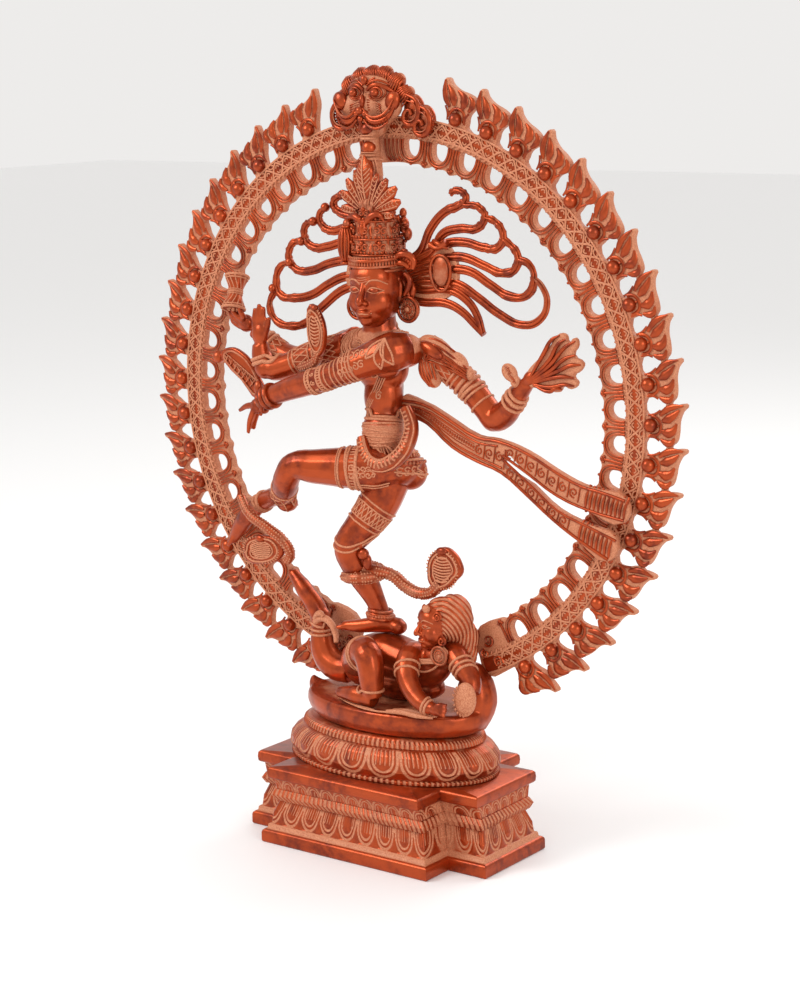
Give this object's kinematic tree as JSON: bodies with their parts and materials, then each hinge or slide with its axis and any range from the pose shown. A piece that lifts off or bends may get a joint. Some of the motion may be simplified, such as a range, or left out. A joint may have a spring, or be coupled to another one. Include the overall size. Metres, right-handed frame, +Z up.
{
  "type": "dancing figure statue",
  "caption": "Cast brass statue of a four-armed dancing figure inside a ring of flame leaves, standing on a small lying figure over a lotus and stepped pedestal.",
  "frame": {"origin": "centre of the pedestal's flat underside", "axes": "+Z up; the figure and the pedestal's long face look towards -Y; +X is the viewer's right"},
  "size_m": [0.4483, 0.1238, 0.533],
  "materials": {
    "cast_brass": "glossy copper-brown lacquer on raised parts, matt tan patina in the recesses",
    "fixing_steel": "plain zinc-plated"
  },
  "bodies": {
    "root": {"fixing_stud": "fixing_steel", "fixing_washer": "fixing_steel", "fixing_nut": "fixing_steel", "pedestal": "cast_brass", "lotus_cushion": "cast_brass", "oval_plinth": "cast_brass", "torso": "cast_brass", "hips": "cast_brass", "head": "cast_brass", "crown": "cast_brass", "crown_crest": "cast_brass", "kirtimukha_mask": "cast_brass", "crown_finial": "cast_brass", "right_earring": "cast_brass", "left_earring": "cast_brass", "front_left_arm": "cast_brass", "wrist_bangles": "cast_brass", "front_right_arm": "cast_brass", "arm_cobra": "cast_brass", "back_left_arm": "cast_brass", "shoulder_epaulette": "cast_brass", "hand_flame": "cast_brass", "back_right_arm": "cast_brass", "drum": "cast_brass", "wrist_tie": "cast_brass", "hair_fan_left": "cast_brass", "hair_fan_right": "cast_brass", "hip_loop": "cast_brass", "sash": "cast_brass", "raised_leg": "cast_brass", "ankle_cobra": "cast_brass", "standing_leg": "cast_brass", "anklet": "cast_brass", "calf_cobra": "cast_brass", "dwarf_head": "cast_brass", "dwarf_body": "cast_brass", "dwarf_bent_leg": "cast_brass", "dwarf_raised_leg": "cast_brass", "dwarf_right_arm": "cast_brass", "dwarf_left_arm": "cast_brass", "flame_arch": "cast_brass"}
  },
  "joints": []
}
